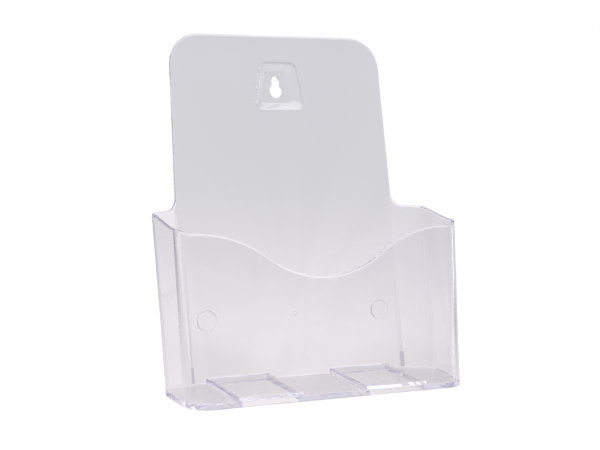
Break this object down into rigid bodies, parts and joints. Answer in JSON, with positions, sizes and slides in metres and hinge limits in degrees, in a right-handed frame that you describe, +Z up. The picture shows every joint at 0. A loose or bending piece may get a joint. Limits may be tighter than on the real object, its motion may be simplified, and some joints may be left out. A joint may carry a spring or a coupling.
{
  "type": "magazine rack",
  "caption": "Clear plastic magazine and leaflet holder with a tall back panel, one leaning pocket, a dipped front rim and a keyhole for hanging on a wall.",
  "frame": {"origin": "middle of the holder's bounding box in plan, on the surface it stands on", "axes": "+Z up, the pocket's front faces -Y, +X to the right seen from the front"},
  "size_m": [0.238, 0.1294, 0.271],
  "materials": {
    "clear_plastic": "polished, transparent, very slightly violet in thick sections"
  },
  "bodies": {
    "root": {"back_panel": "clear_plastic", "hanging_recess": "clear_plastic", "left_back_wing": "clear_plastic", "right_back_wing": "clear_plastic", "left_side_wall": "clear_plastic", "right_side_wall": "clear_plastic", "left_front_corner": "clear_plastic", "right_front_corner": "clear_plastic", "front_wall": "clear_plastic", "left_floor": "clear_plastic", "centre_floor": "clear_plastic", "right_floor": "clear_plastic", "left_platform": "clear_plastic", "right_platform": "clear_plastic", "left_bend_rib": "clear_plastic", "right_bend_rib": "clear_plastic", "left_round_pad": "clear_plastic", "right_round_pad": "clear_plastic", "gate_stub": "clear_plastic"}
  },
  "joints": []
}
